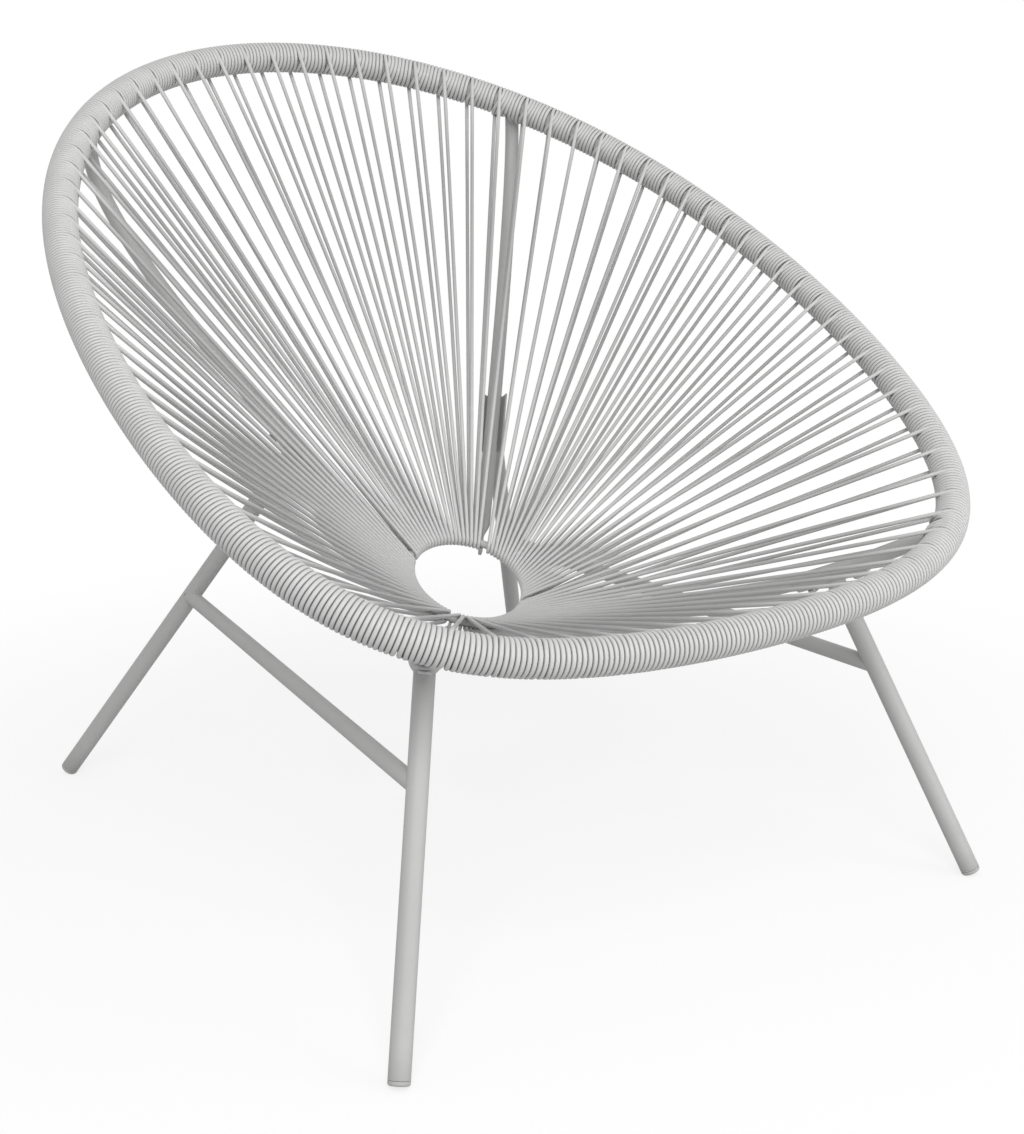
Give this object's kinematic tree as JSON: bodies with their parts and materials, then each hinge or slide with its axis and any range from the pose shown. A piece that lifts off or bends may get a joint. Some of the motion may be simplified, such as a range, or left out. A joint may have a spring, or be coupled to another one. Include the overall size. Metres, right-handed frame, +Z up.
{
  "type": "acapulco chair",
  "caption": "Low patio chair: a tilted egg-shaped tube ring laced with plastic cord to a small ring at the seat, on splayed tube legs with side stretchers.",
  "frame": {"origin": "on the floor, under the middle of the chair", "axes": "+Z up, the front of the chair towards -Y, the sitter's left hand towards +X"},
  "size_m": [0.8564, 0.8574, 0.8147],
  "materials": {
    "powder_coat": "light grey powder coat, matte",
    "cord": "light grey extruded PVC cord, satin",
    "foot_cap": "light grey moulded plastic",
    "fastener": "zinc plated"
  },
  "bodies": {
    "root": {"outer_ring": "powder_coat", "seat_ring": "powder_coat", "front_rib_right": "powder_coat", "front_rib_left": "powder_coat", "back_rib_right": "powder_coat", "back_rib_left": "powder_coat", "front_cord": "cord", "right_cord": "cord", "back_cord": "cord", "left_cord": "cord", "front_leg_right": "powder_coat", "front_leg_left": "powder_coat", "front_saddle_right": "powder_coat", "front_saddle_left": "powder_coat", "front_foot_cap_right": "foot_cap", "front_foot_cap_left": "foot_cap", "back_leg_right": "powder_coat", "back_leg_left": "powder_coat", "back_saddle_right": "powder_coat", "back_saddle_left": "powder_coat", "back_foot_cap_right": "foot_cap", "back_foot_cap_left": "foot_cap", "stretcher_right": "powder_coat", "stretcher_left": "powder_coat", "front_outer_bolt_right": "fastener", "front_outer_bolt_left": "fastener", "front_outer_insert_right": "fastener", "front_outer_insert_left": "fastener", "front_inner_bolt_right": "fastener", "front_inner_bolt_left": "fastener", "front_inner_insert_right": "fastener", "front_inner_insert_left": "fastener", "back_outer_bolt_right": "fastener", "back_outer_bolt_left": "fastener", "back_outer_insert_right": "fastener", "back_outer_insert_left": "fastener", "back_inner_bolt_right": "fastener", "back_inner_bolt_left": "fastener", "back_inner_insert_right": "fastener", "back_inner_insert_left": "fastener"}
  },
  "joints": []
}
